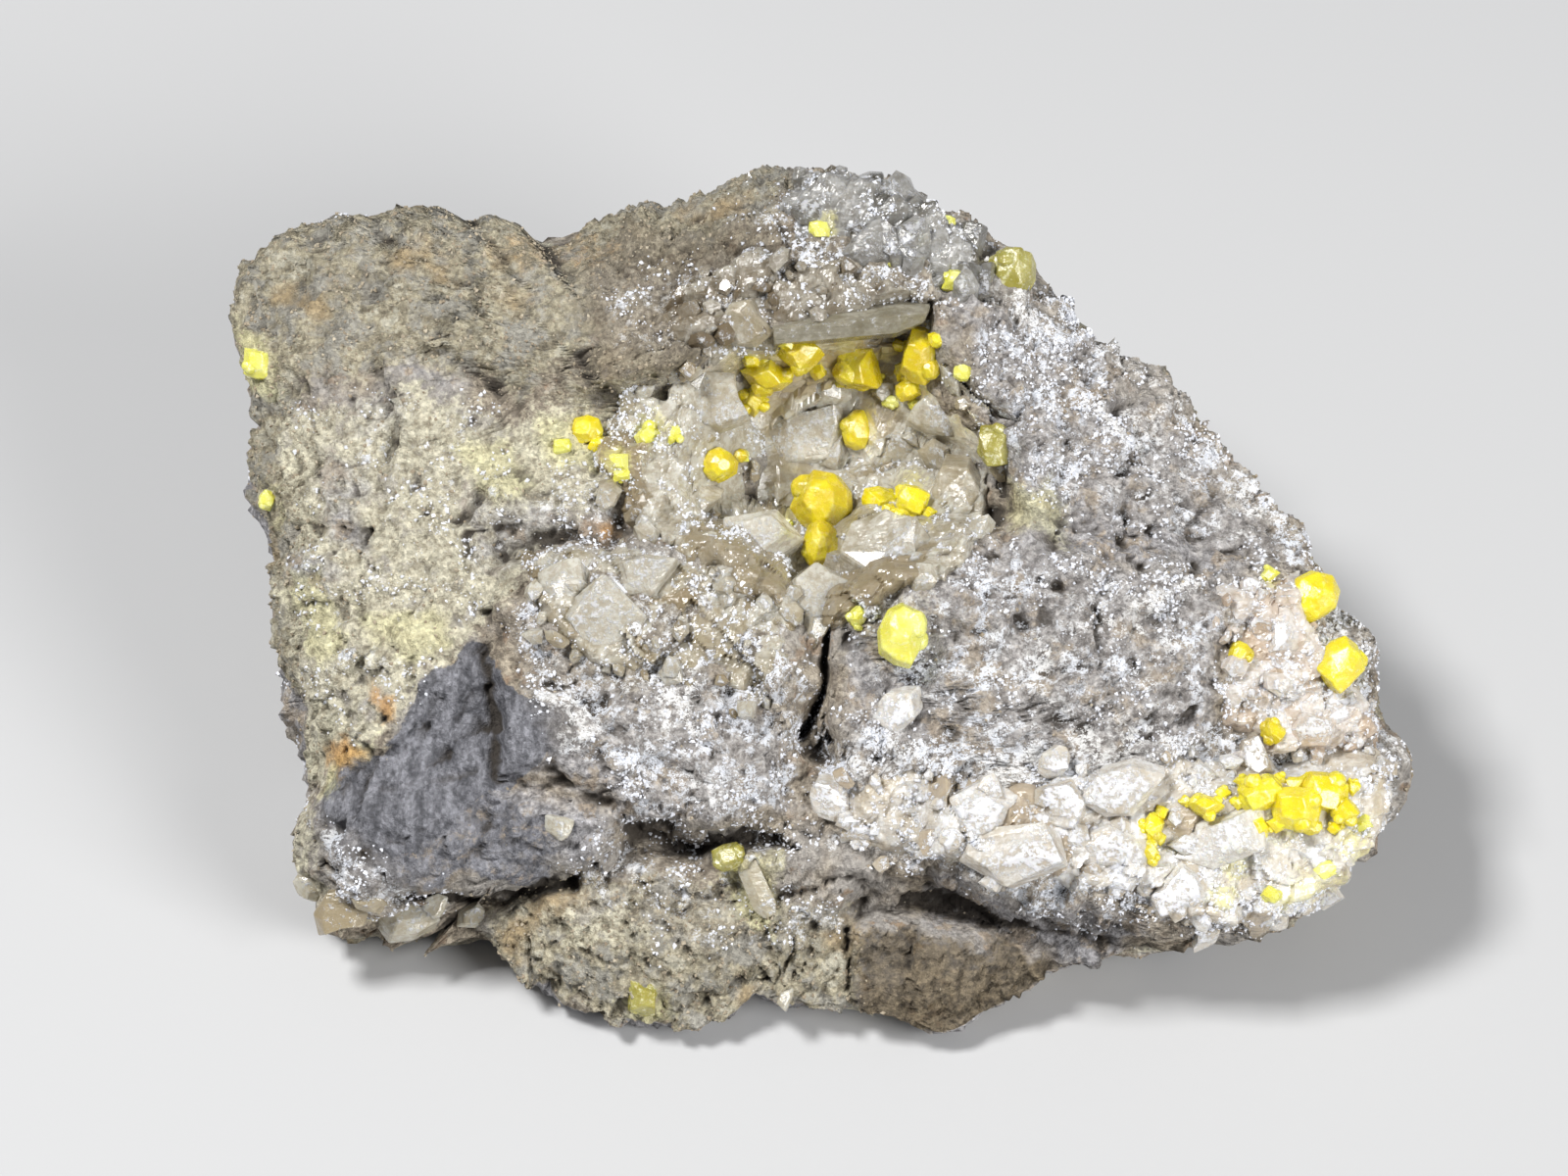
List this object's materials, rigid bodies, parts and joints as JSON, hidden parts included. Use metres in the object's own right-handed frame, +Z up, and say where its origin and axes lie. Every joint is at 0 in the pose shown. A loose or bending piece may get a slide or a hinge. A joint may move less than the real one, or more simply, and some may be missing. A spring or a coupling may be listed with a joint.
{
  "type": "native sulfur crystal specimen",
  "caption": "Hand specimen of native sulfur: yellow crystals with milky calcite in a hollow and on the edges of a lump of marly limestone matrix.",
  "frame": {"origin": "centre of the flat resting break, under the middle of the overall box, at the height of the surface it rests on", "axes": "+X along the long side of the specimen, left to right as the show face is seen; +Z up from the resting break; the show face looks up and to -Y"},
  "size_m": [0.0908, 0.0636, 0.0382],
  "materials": {
    "matrix_stone": "rough",
    "calcite": "satin",
    "sulfur": "gloss"
  },
  "bodies": {
    "root": {"calcite_hollow_crust": "calcite", "calcite_long_prism": "calcite", "calcite_lump_blocks": "calcite", "calcite_pale_prism": "calcite", "calcite_ridge_druse": "calcite", "calcite_right_crust": "calcite", "calcite_shelf_block": "calcite", "calcite_shelf_crust": "calcite", "calcite_white_block": "calcite", "matrix_rock": "matrix_stone", "sulfur_corner_group": "sulfur", "sulfur_edge_lower": "sulfur", "sulfur_edge_upper": "sulfur", "sulfur_foot": "sulfur", "sulfur_gap_crystal": "sulfur", "sulfur_great_crystal": "sulfur", "sulfur_head_group": "sulfur", "sulfur_left_edge": "sulfur", "sulfur_left_pair": "sulfur", "sulfur_lemon": "sulfur", "sulfur_lower_grain": "sulfur", "sulfur_middle_group": "sulfur", "sulfur_oval": "sulfur", "sulfur_pale_pair": "sulfur", "sulfur_right_grain": "sulfur", "sulfur_round": "sulfur", "sulfur_shelf_band": "sulfur", "sulfur_shelf_left": "sulfur", "sulfur_shelf_strip": "sulfur", "sulfur_tan_grain": "sulfur", "sulfur_top_block": "sulfur", "sulfur_under_prism": "sulfur"}
  },
  "joints": []
}
